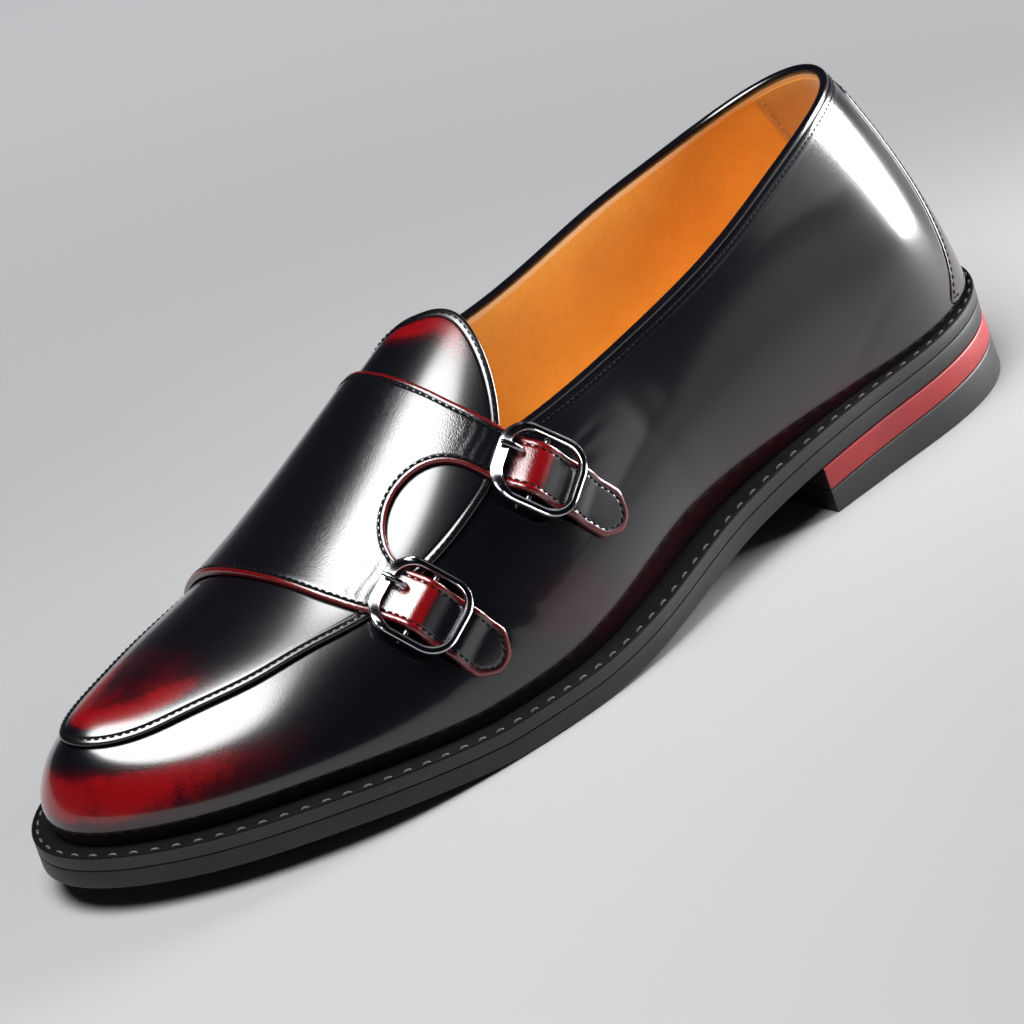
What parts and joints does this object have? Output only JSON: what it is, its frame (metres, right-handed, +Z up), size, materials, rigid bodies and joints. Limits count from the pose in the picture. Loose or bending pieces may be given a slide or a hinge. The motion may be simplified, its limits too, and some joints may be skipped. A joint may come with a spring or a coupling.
{
  "type": "loafer",
  "caption": "Left slip-on loafer with a moccasin apron, a saddle strap split into buckled tails, a stitched welt and a stacked heel with a coloured lift.",
  "frame": {"origin": "on the floor under the middle of the shoe's box", "axes": "+Z up, -Y towards the toe, +X towards the outer side of the left foot"},
  "size_m": [0.1016, 0.294, 0.09],
  "materials": {
    "upper_leather": "polished black leather burnished with burgundy",
    "apron_leather": "polished, fading from black to red at the toe",
    "strap_leather": "polished black with red painted edges",
    "stay_leather": "polished dark burgundy",
    "lining": "smooth tan lining leather",
    "welt": "dark waxed edge",
    "outsole": "black, satin edge",
    "red_lift": "red heel lift, satin",
    "top_piece": "black, matt",
    "gunmetal": "polished gunmetal"
  },
  "bodies": {
    "root": {"outsole": "outsole", "welt": "welt", "insole": "lining", "heel_lift": "red_lift", "heel_top_piece": "top_piece", "upper": "upper_leather", "back_stay": "stay_leather", "apron_tongue": "apron_leather", "saddle_strap": "strap_leather", "buckle_upper": "gunmetal", "buckle_lower": "gunmetal", "prong_upper": "gunmetal", "prong_lower": "gunmetal"}
  },
  "joints": []
}
